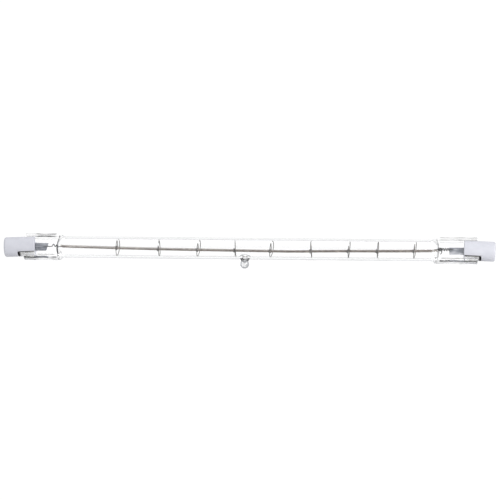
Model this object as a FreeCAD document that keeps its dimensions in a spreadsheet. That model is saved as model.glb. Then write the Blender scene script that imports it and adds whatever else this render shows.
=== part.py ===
"""A double-ended linear halogen bulb, lying on a floor on its tube and its exhaust tip.

The origin is on the tube's axis at the middle of the lamp, +X runs along the tube to the right end and +Z is up.
The pieces are drawn with the pinch seals flat in the XY plane and the exhaust tip pointing to -Y. On the way out
all of them are rolled about the tube's axis until the tip touches the floor too. Millimetres throughout.
"""

import FreeCAD, Part
import os
import re

import Sketcher

# Driving sizes, in millimetres, degrees and plain counts
SIZES = {
    "overall_length": 189.1,
    # Quartz tube
    "tube_diameter": 8.3,
    "tube_wall": 0.85,
    "end_wall": 0.9,
    "bore_taper": 0.9,
    "shoulder_length": 2.8,
    "shoulder_fullness": 0.8,
    # Pinch seals, which have an I section
    "left_pinch_length": 12.9,
    "right_pinch_length": 14.9,
    "pinch_width": 10.2,
    "pinch_thickness": 3.6,
    "flange_width": 1.2,
    "flange_round": 0.55,
    "web_thickness": 1.7,
    # Exhaust tip
    "tip_offset": -1.2,
    "tip_height": 4.4,
    "neck_diameter": 3.0,
    "bead_diameter": 3.4,
    "tip_root_round": 0.8,
    "tip_channel_diameter": 1.3,
    "tip_channel_depth": 2.4,
    # Ceramic caps
    "cap_length": 12.0,
    "cap_diameter": 7.6,
    "cap_outer_chamfer": 0.4,
    "cap_droop": 2.6,
    "cap_wall": 3.1,
    "slot_width": 4.0,
    "left_cement_depth": 2.1,
    "right_cement_depth": 1.1,
    # Recessed contacts
    "recess_diameter": 3.6,
    "recess_depth": 1.7,
    "seat_diameter": 3.0,
    "head_thickness": 0.8,
    "head_setback": 0.1,
    "head_clearance": 0.05,
    "dimple_depth": 0.2,
    "dimple_diameter": 1.6,
    "shank_diameter": 1.9,
    "shank_clearance": 0.05,
    "shank_length": 1.8,
    "shank_bore_depth": 1.5,
    "lead_clearance": 0.05,
    # Cement
    "cement_width": 5.8,
    "cement_setback": 0.5,
    # Molybdenum foils and leads
    "left_foil_width": 3.5,
    "right_foil_width": 3.0,
    "foil_length": 7.7,
    "foil_thickness": 0.05,
    "left_foil_setback": 1.5,
    "right_foil_setback": 3.1,
    "weld_overlap": 1.6,
    "outer_lead_diameter": 0.8,
    "inner_lead_diameter": 0.4,
    "spud_length": 3.0,
    # Filament coil
    "coil_diameter": 1.1,
    "coil_wire": 0.2,
    "coil_end_gap": 0.2,
    "coil_end_lift": 0.1,
    "coil_bow": 0.8,
    "coil_bow_angle": 25,
    # Wire supports
    "support_wire": 0.3,
    "arm_bend": 0.6,
    "ring_gap_angle": 25,
    "ring_clearance": 0.1,
    "grip_clearance": 0.09,
}

# Each support's place along the coil (-1 is its left end, 1 its right), the angle of its arm round the tube
# and the lean of its ring
SUPPORTS = [
    (-0.695, 70, 14),
    (-0.472, 110, -4),
    (-0.262, 85, 11),
    (-0.065, 250, -3),
    (0.127, 100, 13),
    (0.34, 65, -7),
    (0.54, 95, 5),
    (0.693, 240, -8),
    (0.889, 80, 9),
]

# Sizes that follow from the driving ones
DERIVED = {
    "tube_radius": "tube_diameter / 2",
    "bore_radius": "tube_radius - tube_wall",
    "pinch_reach": "pinch_width / 2",
    "pinch_rise": "pinch_thickness / 2",
    "web_reach": "pinch_reach - flange_width",
    "web_rise": "web_thickness / 2",
    "recess_floor": "cap_length - recess_depth",
    "contact_face": "recess_floor - head_setback",
    "contact_seat": "contact_face - head_thickness",
    "slot_depth": "contact_seat - cap_wall",
    "left_insertion": "slot_depth - left_cement_depth",
    "right_insertion": "slot_depth - right_cement_depth",
    "left_pinch_end": "-(overall_length / 2 - cap_length + left_insertion)",
    "right_pinch_end": "overall_length / 2 - cap_length + right_insertion",
    "left_pinch_root": "left_pinch_end + left_pinch_length",
    "right_pinch_root": "right_pinch_end - right_pinch_length",
    "left_tube_end": "left_pinch_root + shoulder_length",
    "right_tube_end": "right_pinch_root - shoulder_length",
    "left_bore_end": "left_pinch_root + end_wall",
    "right_bore_end": "right_pinch_root - end_wall",
    "bead_radius": "bead_diameter / 2",
    "bead_middle": "tube_radius + tip_height - bead_radius",
    "resting_roll": "asin((tube_radius - bead_radius) / bead_middle)",
    "cap_radius": "cap_diameter / 2",
    "shank_end": "contact_seat - shank_length",
    "left_foil_outer": "left_pinch_end + left_foil_setback",
    "right_foil_outer": "right_pinch_end - right_foil_setback",
    "left_foil_inner": "left_foil_outer + foil_length",
    "right_foil_inner": "right_foil_outer - foil_length",
    "outer_lead_radius": "outer_lead_diameter / 2",
    "inner_lead_radius": "inner_lead_diameter / 2",
    "lead_reach": "shank_end + shank_bore_depth - lead_clearance",
    "left_coil_end": "left_bore_end + coil_end_gap",
    "right_coil_end": "right_bore_end - coil_end_gap",
    "coil_middle": "(left_coil_end + right_coil_end) / 2",
    "coil_reach": "(right_coil_end - left_coil_end) / 2",
    "coil_radius": "coil_diameter / 2",
    "wire_radius": "support_wire / 2",
    "grip_radius": "coil_radius + grip_clearance + wire_radius",
    "ring_radius": "bore_radius - ring_clearance - wire_radius",
}

ROUND_SHARE = 1 - 0.5**0.5  # how far the middle of a quarter-round lies from its corner, as a share of its radius

SAME = 1e-4  # two lengths this near each other are one

doc = FreeCAD.newDocument("linear_halogen_bulb")
sheet = doc.addObject("Spreadsheet::Sheet", "sizes")
aliases = set()


def fill_sheet():
    """Give every driving and derived size a row of the sheet and an alias."""
    rows = [(name, str(value)) for name, value in SIZES.items()]
    rows += [(name, "=" + formula) for name, formula in DERIVED.items()]
    for count, (share, arm, lean) in enumerate(SUPPORTS, start=1):
        name = f"support_{count}"
        bow = f"coil_bow * (1 - {name}_share ^ 2)"
        rows += [
            (f"{name}_share", str(share)),
            (f"{name}_place", f"=coil_middle + {name}_share * coil_reach"),
            (f"{name}_arm", str(arm)),
            (f"{name}_lean", str(lean)),
            # How far the coil has left the tube's axis, and where the axis is as the arm sees it
            (f"{name}_offset", f"=coil_end_lift - {bow}"),
            (f"{name}_across", f"={name}_offset * sin(coil_bow_angle - {name}_arm)"),
            (f"{name}_along", f"=-{name}_offset * cos(coil_bow_angle - {name}_arm)"),
        ]
    for row, (name, content) in enumerate(rows, start=1):
        sheet.set(f"A{row}", name)
        sheet.set(f"B{row}", content)
        sheet.setAlias(f"B{row}", name)
        aliases.add(name)
    doc.recompute()


def sized(formula):
    """The formula with each alias read from the sheet."""
    return re.sub(r"[A-Za-z_]\w*", lambda word: f"sizes.{word[0]}" if word[0] in aliases else word[0], formula)


def number(formula):
    """What the formula comes to."""
    result = sheet.evalExpression(sized(formula))
    return float(getattr(result, "Value", result))


def bind(thing, **formulas):
    """Bind properties to formulas; a double underscore in a name stands for a dot."""
    for name, formula in formulas.items():
        thing.setExpression(name.replace("__", "."), sized(formula))


def add_body(name):
    body = doc.addObject("PartDesign::Body", name)
    body.Label = name
    return body


def turn_body(body, axis, angle, **base):
    """Place a body at base, turned by an angle about an axis."""
    body.Placement = FreeCAD.Placement(FreeCAD.Vector(), FreeCAD.Rotation(FreeCAD.Vector(*axis), number(angle)))
    bind(body, Placement__Rotation__Angle=angle)
    for letter, formula in base.items():
        body.setExpression(f"Placement.Base.{letter}", sized(formula))


def add_sketch(body, name, role, lean=None, **offset):
    """A sketch on one of the body's own planes, moved by offset and leaned about its upright axis."""
    sketch = body.newObject("Sketcher::SketchObject", name)
    support = next(feature for feature in body.Origin.OriginFeatures if feature.Role == role)
    sketch.AttachmentSupport = (support, [""])
    sketch.MapMode = "FlatFace"
    if lean:
        turn = FreeCAD.Rotation(FreeCAD.Vector(0, 1, 0), number(lean))
        sketch.AttachmentOffset = FreeCAD.Placement(FreeCAD.Vector(), turn)
        bind(sketch, AttachmentOffset__Rotation__Angle=lean)
    for letter, formula in offset.items():
        sketch.setExpression(f"AttachmentOffset.Base.{letter}", sized(formula))
    return sketch


def hold(sketch, kind, formula, *where):
    """Add a dimension to a sketch and bind it to a formula."""
    index = sketch.addConstraint(Sketcher.Constraint(kind, *where, number(formula)))
    sketch.setExpression(f"Constraints[{index}]", sized(formula))


def hold_point(sketch, geometry, position, across, up):
    hold(sketch, "DistanceX", across, -1, 1, geometry, position)
    hold(sketch, "DistanceY", up, -1, 1, geometry, position)


def point_at(spot):
    return FreeCAD.Vector(number(spot[0]), number(spot[1]), 0)


def nearer_end(sketch, geometry, point):
    """Which end of a line or arc lies at the point."""
    return min((1, 2), key=lambda end: sketch.getPoint(geometry, end).distanceToPoint(point))


def draw(sketch, spots, arcs=None, closed=True):
    """A chain of lines and arcs through spots. arcs maps a spot's number to a point its outgoing arc passes."""
    arcs = arcs or {}
    points = [point_at(spot) for spot in spots]
    stretches = []
    for count in range(len(spots) if closed else len(spots) - 1):
        start, end = points[count], points[(count + 1) % len(points)]
        if count in arcs:
            middle = point_at(arcs[count])
            stretch = sketch.addGeometry(Part.Arc(start, middle, end), False)
            guide = sketch.addGeometry(Part.Point(middle), True)
            sketch.addConstraint(Sketcher.Constraint("PointOnObject", guide, 1, stretch))
            hold_point(sketch, guide, 1, *arcs[count])
        else:
            stretch = sketch.addGeometry(Part.LineSegment(start, end), False)
        stretches.append(stretch)
    for count, spot in enumerate(spots):
        following = stretches[count] if count < len(stretches) else None
        before = stretches[count - 1] if closed or count else None
        holder = before if following is None else following
        hold_point(sketch, holder, nearer_end(sketch, holder, points[count]), *spot)
        if following is not None and before is not None:
            ends = (before, nearer_end(sketch, before, points[count]))
            ends += (following, nearer_end(sketch, following, points[count]))
            sketch.addConstraint(Sketcher.Constraint("Coincident", *ends))


def draw_rounded(sketch, corners):
    """A closed outline of upright and level lines. A corner's third entry is its rounding's radius."""
    points = [point_at(corner) for corner in corners]
    spots, arcs = [], {}
    for count, corner in enumerate(corners):
        if len(corner) == 2:
            spots.append(corner)
            continue
        into = (points[count] - points[count - 1]).normalize()
        out = (points[(count + 1) % len(points)] - points[count]).normalize()
        across, up, radius = corner
        arcs[len(spots)] = (
            f"{across} + {round(out.x - into.x)} * {ROUND_SHARE} * {radius}",
            f"{up} + {round(out.y - into.y)} * {ROUND_SHARE} * {radius}",
        )
        spots.append((f"{across} - {round(into.x)} * {radius}", f"{up} - {round(into.y)} * {radius}"))
        spots.append((f"{across} + {round(out.x)} * {radius}", f"{up} + {round(out.y)} * {radius}"))
    draw(sketch, spots, arcs)


def draw_circle(sketch, radius, across="0", up="0"):
    middle = point_at((across, up))
    circle = sketch.addGeometry(Part.Circle(middle, FreeCAD.Vector(0, 0, 1), number(radius)), False)
    hold_point(sketch, circle, 3, across, up)
    hold(sketch, "Radius", radius, circle)


def draw_square(sketch, reach, across="0", up="0"):
    """A square section about a point, reaching as far to each side."""
    signs = [(1, 1), (-1, 1), (-1, -1), (1, -1)]
    draw(sketch, [(f"{across} + {side} * {reach}", f"{up} + {over} * {reach}") for side, over in signs])


def add_feature(body, kind, name, profile, **settings):
    """A PartDesign feature made from a profile; text settings are formulas and the rest are values."""
    feature = body.newObject(f"PartDesign::{kind}", name)
    feature.Profile = profile
    for key, setting in settings.items():
        if isinstance(setting, str):
            feature.setExpression(key, sized(setting))
        else:
            setattr(feature, key, setting)
    return feature


def add_turned(body, kind, name, sketch, axis="H_Axis"):
    """A Revolution or Groove all the way round one of the sketch's own axes."""
    return add_feature(body, kind, name, sketch, ReferenceAxis=(sketch, [axis]), Angle="360")


def draw_oval(sketch, reach, rise):
    """An ellipse in eight arcs, which pair with the sides and roundings of the pinch's outline."""
    side, corner = 12, 30
    angles = [side, corner, 180 - corner, 180 - side, 180 + side, 180 + corner, -corner, -side]
    spots = [(f"{reach} * cos({angle})", f"{rise} * sin({angle})") for angle in angles]
    middles = [(side + corner) / 2, 90, 180 - (side + corner) / 2, 180]
    middles += [180 + (side + corner) / 2, 270, -(side + corner) / 2, 0]
    arcs = {
        count: (f"{reach} * cos({angle})", f"{rise} * sin({angle})") for count, angle in enumerate(middles)
    }
    draw(sketch, spots, arcs)


def draw_flat(sketch, reach, rise, radius):
    """A flat outline with rounded corners that starts where draw_oval does."""
    near, far = f"{ROUND_SHARE} * {radius}", radius
    quadrants = [(1, 1), (-1, 1), (-1, -1), (1, -1)]
    spots, arcs = [], {}
    for count, (side, up) in enumerate(quadrants):
        beside = (f"{side} * {reach}", f"{up} * ({rise} - {far})")
        above = (f"{side} * ({reach} - {far})", f"{up} * {rise}")
        arcs[2 * count] = (f"{side} * ({reach} - {near})", f"{up} * ({rise} - {near})")
        spots += [beside, above] if side * up > 0 else [above, beside]
    draw(sketch, spots, arcs)


def add_pinch(body, side):
    """The pressed seal: two thick flanges along the edges of a thin web."""
    outer, root = f"{side}_pinch_end", f"{side}_pinch_root"
    low, length = (outer, f"{root} - {outer}") if side == "left" else (root, f"{outer} - {root}")
    section = add_sketch(body, f"{side}_pinch_section", "YZ_Plane", z=low)
    half = [
        ("pinch_reach", "pinch_rise", "flange_round"),
        ("web_reach", "pinch_rise"),
        ("web_reach", "web_rise"),
    ]
    corners = list(half)
    corners += [(f"-{across}", *rest) for across, *rest in reversed(half)]
    corners += [(f"-{across}", f"-{up}", *rest) for across, up, *rest in half]
    corners += [(across, f"-{up}", *rest) for across, up, *rest in reversed(half)]
    draw_rounded(section, corners)
    add_feature(body, "Pad", f"{side}_pinch", section, Length=length)


def add_shoulder(body, side):
    """Where the round tube flattens and widens into the pinch."""
    root, tube = f"{side}_pinch_root", f"{side}_tube_end"
    flat = add_sketch(body, f"{side}_shoulder_flat", "YZ_Plane", z=root)
    draw_flat(flat, "pinch_reach", "pinch_rise", "flange_round")
    middle = add_sketch(body, f"{side}_shoulder_middle", "YZ_Plane", z=f"({root} + {tube}) / 2")
    draw_oval(
        middle,
        "(tube_radius + pinch_reach) / 2",
        "pinch_rise + (tube_radius - pinch_rise) * shoulder_fullness",
    )
    round_end = add_sketch(body, f"{side}_shoulder_round", "YZ_Plane", z=tube)
    draw_oval(round_end, "tube_radius", "tube_radius")
    add_feature(body, "AdditiveLoft", f"{side}_shoulder", flat, Sections=[middle, round_end], Ruled=True)


def add_tube(body):
    section = add_sketch(body, "tube_section", "YZ_Plane", z="left_tube_end")
    draw_circle(section, "tube_radius")
    add_feature(body, "Pad", "tube", section, Length="right_tube_end - left_tube_end")


def add_exhaust_tip(body):
    """The stub of the exhaust tube, melted shut to a bead, with a soft root on the tube's wall."""
    profile = add_sketch(body, "tip_profile", "XY_Plane", x="tip_offset")
    neck, inside = "neck_diameter / 2", "(bore_radius + tube_wall / 2)"
    end = "(bead_middle + bead_radius)"
    waist = f"(bead_middle - sqrt(bead_radius ^ 2 - ({neck}) ^ 2))"
    spots = [("0", f"-{inside}"), ("0", f"-{end}"), (neck, f"-{waist}"), (neck, f"-{inside}")]
    draw(profile, spots, {1: ("bead_radius", "-bead_middle")})
    tip = add_turned(body, "Revolution", "exhaust_tip", profile, "V_Axis")
    doc.recompute()
    radius, place, reach = number("tube_radius"), number("tip_offset"), number(neck)

    def on_root(edge):
        """The neck's edge on the tube's outside: every point is at the tube's radius and the neck's reach."""
        if edge.Degenerated:
            return False
        return all(
            abs((spot.y**2 + spot.z**2) ** 0.5 - radius) < SAME
            and abs(((spot.x - place) ** 2 + spot.z**2) ** 0.5 - reach) < SAME
            for spot in edge.discretize(7)
        )

    edges = [f"Edge{count}" for count, edge in enumerate(tip.Shape.Edges, start=1) if on_root(edge)]
    fillet = body.newObject("PartDesign::Fillet", "tip_root")
    fillet.Base = (tip, edges)
    bind(fillet, Radius="tip_root_round")


def hollow_out(body):
    """The bore, which narrows at its ends, and the channel that runs on into the exhaust tip."""
    bore = add_sketch(body, "bore_profile", "XY_Plane")
    left, right, narrow = "left_bore_end + bore_taper", "right_bore_end - bore_taper", "bore_radius - bore_taper"
    spots = [("left_bore_end", "0"), ("left_bore_end", narrow), (left, "bore_radius")]
    spots += [(right, "bore_radius"), ("right_bore_end", narrow), ("right_bore_end", "0")]
    draw(bore, spots)
    add_turned(body, "Groove", "bore", bore)
    channel = add_sketch(body, "tip_channel_profile", "XY_Plane", x="tip_offset")
    start, end, wide = "-(bore_radius - tube_wall)", "-(tube_radius + tip_channel_depth)", "tip_channel_diameter / 2"
    draw(channel, [("0", start), ("0", end), (wide, end), (wide, start)])
    add_turned(body, "Groove", "tip_channel", channel, "V_Axis")


def build_envelope_blank():
    """The whole quartz piece before it closes on the foils and leads."""
    body = add_body("envelope_blank")
    add_pinch(body, "left")
    add_shoulder(body, "left")
    add_tube(body)
    add_shoulder(body, "right")
    add_pinch(body, "right")
    add_exhaust_tip(body)
    hollow_out(body)
    return body


def place_on_cap_axis(body, side):
    """Put a body made along its own +X on the cap's axis: it droops to -Y about the pinch's outer end."""
    insertion, end = f"{side}_insertion", f"{side}_pinch_end"
    outward = 1 if side == "right" else -1
    angle = "-cap_droop" if side == "right" else "180 + cap_droop"
    base_x = f"{end} - {outward} * {insertion} * cos(cap_droop)"
    turn_body(body, (0, 0, 1), angle, x=base_x, y=f"{insertion} * sin(cap_droop)")


def build_cap(side):
    """A ceramic cap: its slot takes the pinch, and its outer end has a recess with a seat for the contact."""
    body = add_body(f"ceramic_cap_{side}")
    hole, seat, recess = "shank_diameter / 2 + shank_clearance", "seat_diameter / 2", "recess_diameter / 2"
    profile = add_sketch(body, f"cap_profile_{side}", "XY_Plane")
    draw(
        profile,
        [
            ("0", hole),
            ("0", "cap_radius"),
            ("cap_length - cap_outer_chamfer", "cap_radius"),
            ("cap_length", "cap_radius - cap_outer_chamfer"),
            ("cap_length", recess),
            ("recess_floor", recess),
            ("recess_floor", seat),
            ("contact_seat", seat),
            ("contact_seat", hole),
        ],
    )
    add_turned(body, "Revolution", f"cap_turned_{side}", profile)
    slot = add_sketch(body, f"cap_slot_outline_{side}", "XZ_Plane")
    over = "slot_width / 2"
    draw(slot, [("-1", f"-{over}"), ("slot_depth", f"-{over}"), ("slot_depth", over), ("-1", over)])
    add_feature(body, "Pocket", f"cap_slot_{side}", slot, Length="cap_diameter * 2", Midplane=True)
    place_on_cap_axis(body, side)


def build_contact(side):
    """A turned contact: a dimpled head in the cap's seat and a hollow shank that takes the lead."""
    body = add_body(f"contact_{side}")
    head, dimple = "seat_diameter / 2 - head_clearance", "dimple_diameter / 2"
    shank, bore = "shank_diameter / 2", "outer_lead_radius + lead_clearance"
    bottom = "shank_end + shank_bore_depth"
    profile = add_sketch(body, f"contact_profile_{side}", "XY_Plane")
    draw(
        profile,
        [
            (bottom, "0"),
            (bottom, bore),
            ("shank_end", bore),
            ("shank_end", shank),
            ("contact_seat", shank),
            ("contact_seat", head),
            ("contact_face", head),
            ("contact_face", dimple),
            ("contact_face - dimple_depth", dimple),
            ("contact_face - dimple_depth", "0"),
        ],
    )
    add_turned(body, "Revolution", f"contact_turned_{side}", profile)
    place_on_cap_axis(body, side)


def trim_over_foil(body, name, weld_end, foil_end):
    """Cut the lower half off a lead where it lies welded on the foil's upper face."""
    outline = add_sketch(body, f"{name}_weld_outline", "XY_Plane")
    side = "outer_lead_diameter"
    draw(outline, [(weld_end, f"-{side}"), (foil_end, f"-{side}"), (foil_end, side), (weld_end, side)])
    add_feature(body, "Pocket", f"{name}_weld", outline, Length=side)


def build_outer_lead(side):
    """The wire from the foil out of the pinch and, bent to the cap's axis, into the contact's shank."""
    body = add_body(f"outer_lead_{side}")
    outward = 1 if side == "right" else -1
    foil, pinch = f"{side}_foil_outer", f"{side}_pinch_end"
    start = f"{foil} - {outward} * weld_overlap"
    beyond = f"(lead_reach - {side}_insertion)"
    end = (f"{pinch} + {outward} * {beyond} * cos(cap_droop)", f"-{beyond} * sin(cap_droop)")
    path = add_sketch(body, f"outer_lead_path_{side}", "XY_Plane")
    draw(path, [(start, "0"), (pinch, "0"), end], closed=False)
    section = add_sketch(body, f"outer_lead_section_{side}", "YZ_Plane", z=start)
    draw_circle(section, "outer_lead_radius")
    pipe = add_feature(body, "AdditivePipe", f"outer_lead_wire_{side}", section, Spine=(path, []))
    pipe.Transition = "Right corner"
    trim_over_foil(body, f"outer_lead_{side}", start, foil)
    return body


def build_inner_lead(side):
    """The straight wire from the foil, through the glass, into the end of the coil."""
    body = add_body(f"inner_lead_{side}")
    outward = 1 if side == "right" else -1
    foil, tip = f"{side}_foil_inner", f"{side}_coil_end - {outward} * spud_length"
    start = f"{foil} + {outward} * weld_overlap"
    low, high = (start, tip) if side == "left" else (tip, start)
    section = add_sketch(body, f"inner_lead_section_{side}", "YZ_Plane", z=low)
    draw_circle(section, "inner_lead_radius")
    add_feature(body, "Pad", f"inner_lead_wire_{side}", section, Length=f"{high} - ({low})")
    trim_over_foil(body, f"inner_lead_{side}", start, foil)
    return body


def build_foil(side):
    body = add_body(f"foil_{side}")
    outline = add_sketch(body, f"foil_outline_{side}", "XY_Plane")
    inner, outer, over = f"{side}_foil_inner", f"{side}_foil_outer", f"{side}_foil_width / 2"
    draw(outline, [(inner, f"-{over}"), (outer, f"-{over}"), (outer, over), (inner, over)])
    add_feature(body, "Pad", f"foil_sheet_{side}", outline, Length="foil_thickness", Reversed=True)
    return body


def build_cement(side, outer_lead):
    """Cement between the cap's slot and the pinch's web, closed round the web's end and the lead."""
    outward = 1 if side == "right" else -1
    filling = add_body(f"cement_filling_{side}")
    outline = add_sketch(filling, f"cement_outline_{side}", "XY_Plane")
    over = "cement_width / 2"
    start, end = "cement_setback", "slot_depth"
    draw(outline, [(start, f"-{over}"), (end, f"-{over}"), (end, over), (start, over)])
    add_feature(filling, "Pad", f"cement_block_{side}", outline, Length="slot_width", Midplane=True)
    place_on_cap_axis(filling, side)
    web = doc.addObject("Part::Box", f"web_space_{side}")
    length = f"{side}_pinch_length"
    bind(web, Length=length, Width="pinch_width", Height="web_thickness")
    inner_x = f"{side}_pinch_end" if side == "left" else f"{side}_pinch_end - {length}"
    bind(web, Placement__Base__x=inner_x, Placement__Base__y="-pinch_width / 2", Placement__Base__z="-web_rise")
    space = doc.addObject("Part::Fuse", f"cement_space_{side}")
    space.Base, space.Tool = web, outer_lead
    cement = doc.addObject("Part::Cut", f"cement_{side}")
    cement.Base, cement.Tool = filling, space
    cement.Label = f"cement_{side}"


def build_envelope(blank, sealed):
    """The quartz closed on what is sealed in it."""
    inside = doc.addObject("Part::MultiFuse", "sealed_in")
    inside.Shapes = sealed
    envelope = doc.addObject("Part::Cut", "quartz_envelope")
    envelope.Base, envelope.Tool = blank, inside
    envelope.Label = "quartz_envelope"


def build_coil():
    """The coil's close turns as one hollow wound tube, bowed along the bore."""
    body = add_body("filament_coil")
    path = add_sketch(body, "coil_path", "XY_Plane")
    ends = [("left_coil_end", "coil_end_lift"), ("right_coil_end", "coil_end_lift")]
    draw(path, ends, {0: ("coil_middle", "coil_end_lift - coil_bow")}, closed=False)
    section = add_sketch(body, "coil_section", "YZ_Plane", z="left_coil_end", x="coil_end_lift")
    draw_circle(section, "coil_radius")
    draw_circle(section, "coil_radius - coil_wire")
    add_feature(body, "AdditivePipe", "coil_turns", section, Spine=(path, []))
    turn_body(body, (1, 0, 0), "coil_bow_angle")


def build_support(name):
    """One bent wire: an eye round the coil, a straight arm and, past a bend, a ring that rides in the bore."""
    body = add_body(name)
    across, along, lean = f"{name}_across", f"{name}_along", f"{name}_lean"
    # From the ring's middle to the bend's, and the angle at which the bend runs into the ring
    aside = f"(grip_radius - arm_bend - {across})"
    above = f"sqrt((ring_radius - arm_bend) ^ 2 - {aside} ^ 2)"
    share = "ring_radius / (ring_radius - arm_bend)"
    start = f"atan2({above}; {aside})"
    middle = f"({start} + 180 deg - ring_gap_angle / 2 * 1 deg)"
    end = f"({start} - ring_gap_angle * 1 deg)"
    path = add_sketch(body, f"{name}_path", "YZ_Plane", lean)
    # The eye is bent in eighths of a turn
    reach, part_way = "grip_radius", "(grip_radius * tan(22.5))"
    spots = [
        ("0", reach),
        (f"-{part_way}", reach),
        (f"-{reach}", part_way),
        (f"-{reach}", f"-{part_way}"),
        (f"-{part_way}", f"-{reach}"),
        (part_way, f"-{reach}"),
        (reach, f"-{part_way}"),
        (reach, f"{along} + {above}"),
        (f"{across} + {aside} * {share}", f"{along} + {above} * {share}"),
        (f"{across} + ring_radius * cos({end})", f"{along} + ring_radius * sin({end})"),
    ]
    arcs = {
        7: (
            f"grip_radius - arm_bend + arm_bend * cos({start} / 2)",
            f"{along} + {above} + arm_bend * sin({start} / 2)",
        ),
        8: (f"{across} + ring_radius * cos({middle})", f"{along} + ring_radius * sin({middle})"),
    }
    draw(path, spots, arcs, closed=False)
    section = add_sketch(body, f"{name}_section", "XZ_Plane", lean)
    draw_square(section, "wire_radius", up="grip_radius")
    wire = add_feature(body, "AdditivePipe", f"{name}_wire", section, Spine=(path, []))
    wire.Transition = "Right corner"
    side, rise = f"{name}_offset * cos(coil_bow_angle)", f"{name}_offset * sin(coil_bow_angle)"
    turn_body(body, (1, 0, 0), f"{name}_arm - 90", x=f"{name}_place", y=side, z=rise)


def export_parts(names):
    """Check every object, then roll each sub-part's solid to where it rests and write it to its own file."""
    broken = [item.Name for item in doc.Objects if {"Invalid", "Error"} & set(item.State)]
    if broken:
        raise RuntimeError(f"these objects failed to build: {broken}")
    parts = {name: doc.getObjectsByLabel(name)[0] for name in names}
    for name, part in parts.items():
        if part.Shape.isNull() or not part.Shape.isValid() or not part.Shape.Solids:
            raise RuntimeError(f"{name} has no valid solid")
    os.makedirs("parts", exist_ok=True)
    roll = FreeCAD.Rotation(FreeCAD.Vector(1, 0, 0), number("resting_roll"))
    resting = FreeCAD.Placement(FreeCAD.Vector(), roll)
    for name, part in parts.items():
        solid = part.Shape.copy()
        solid.Placement = resting.multiply(solid.Placement)
        solid.exportStep(f"parts/{name}.step")


fill_sheet()
names = ["quartz_envelope", "filament_coil"]
sealed = []
for side in ("left", "right"):
    build_cap(side)
    build_contact(side)
    outer_lead = build_outer_lead(side)
    sealed += [build_foil(side), outer_lead, build_inner_lead(side)]
    build_cement(side, outer_lead)
    names += [f"{piece}_{side}" for piece in ("ceramic_cap", "contact", "cement", "foil", "outer_lead", "inner_lead")]
build_envelope(build_envelope_blank(), sealed)
build_coil()
for count in range(1, len(SUPPORTS) + 1):
    build_support(f"support_{count}")
    names.append(f"support_{count}")
doc.recompute()
export_parts(names)
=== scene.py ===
"""Looks for a double-ended linear halogen bulb: smooth quartz, the wound filament on its wire supports,
sealing foils, leads, ceramic caps and contacts, on a plain pale floor. Metres; the tube runs along X."""

import math

import bmesh
import bpy
import numpy as np
from mathutils import Matrix, Vector


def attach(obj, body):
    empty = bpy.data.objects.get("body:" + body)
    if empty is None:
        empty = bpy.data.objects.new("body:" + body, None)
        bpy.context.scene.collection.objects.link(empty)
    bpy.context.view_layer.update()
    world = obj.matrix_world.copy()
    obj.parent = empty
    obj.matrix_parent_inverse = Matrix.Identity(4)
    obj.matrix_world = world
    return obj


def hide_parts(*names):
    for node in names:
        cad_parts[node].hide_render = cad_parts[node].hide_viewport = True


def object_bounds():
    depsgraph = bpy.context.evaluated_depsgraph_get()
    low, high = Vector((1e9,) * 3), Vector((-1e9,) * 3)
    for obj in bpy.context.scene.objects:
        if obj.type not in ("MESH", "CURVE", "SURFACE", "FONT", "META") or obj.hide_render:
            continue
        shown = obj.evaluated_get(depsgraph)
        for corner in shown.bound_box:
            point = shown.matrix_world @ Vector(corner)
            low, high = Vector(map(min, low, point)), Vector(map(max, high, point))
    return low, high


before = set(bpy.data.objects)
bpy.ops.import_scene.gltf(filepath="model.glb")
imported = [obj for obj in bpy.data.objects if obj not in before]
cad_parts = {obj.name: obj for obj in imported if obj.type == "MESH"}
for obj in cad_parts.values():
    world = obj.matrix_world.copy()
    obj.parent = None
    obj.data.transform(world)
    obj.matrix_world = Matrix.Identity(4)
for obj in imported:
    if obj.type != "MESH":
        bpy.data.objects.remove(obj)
cad_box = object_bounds()

MM = 0.001

# The source's sizes, in millimetres
TUBE_R, BORE_R = 4.15, 3.3
PINCH_END = {"left": -86.75, "right": 87.75}
PINCH_ROOT = {"left": -73.85, "right": 72.85}
TUBE_END = {"left": -71.05, "right": 70.05}
BORE_CLOSE = {"left": -73.6, "right": 72.6}
INSERTION = {"left": 4.2, "right": 5.2}
PINCH_REACH, PINCH_RISE = 5.1, 1.8
WEB_REACH, WEB_RISE = 3.9, 0.85
TIP_X, TIP_END = -1.2, 8.55
NECK_R, BEAD_R = 1.5, 1.7
PINCH_OFFSET = -(PINCH_ROOT["left"] + PINCH_ROOT["right"]) / 2
CAP_DROOP = math.radians(2.6)
CAP_LENGTH, CAP_R = 12.0, 3.8
SLOT_DEPTH, SLOT_RISE = 6.8, 2.0
RECESS_R, RECESS_FLOOR, SEAT_R, SEAT_FLOOR = 1.8, 10.3, 1.5, 9.4
SHANK_HOLE_R = 1.0
COIL_ENDS = (-72.75, 71.75)
COIL_LIFT, COIL_BOW, COIL_ANGLE = 0.1, 0.8, math.radians(25)
COIL_R, COIL_WIRE_R = 0.57, 0.115
SUPPORT_WIRE_R = 0.14
# The lamp is rolled about its tube until the tip's bead touches the floor that the tube lies on
RESTING_ANGLE = math.asin((TUBE_R - BEAD_R) / (TIP_END - BEAD_R))
RESTING_ROLL = Matrix.Rotation(RESTING_ANGLE, 4, "X")

unrolled = []


# Meshes

def new_piece(name, verts, faces, material, slot):
    mesh = bpy.data.meshes.new(name)
    mesh.from_pydata([tuple(v) for v in verts], [], [tuple(f) for f in faces])
    mesh.validate()
    mesh.update()
    piece = bpy.data.objects.new(name, mesh)
    bpy.context.scene.collection.objects.link(piece)
    mesh.polygons.foreach_set("use_smooth", [True] * len(mesh.polygons))
    if material:
        mesh.materials.append(material)
    if slot:
        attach(piece, "root")
        unrolled.append(piece)
    return piece


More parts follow.
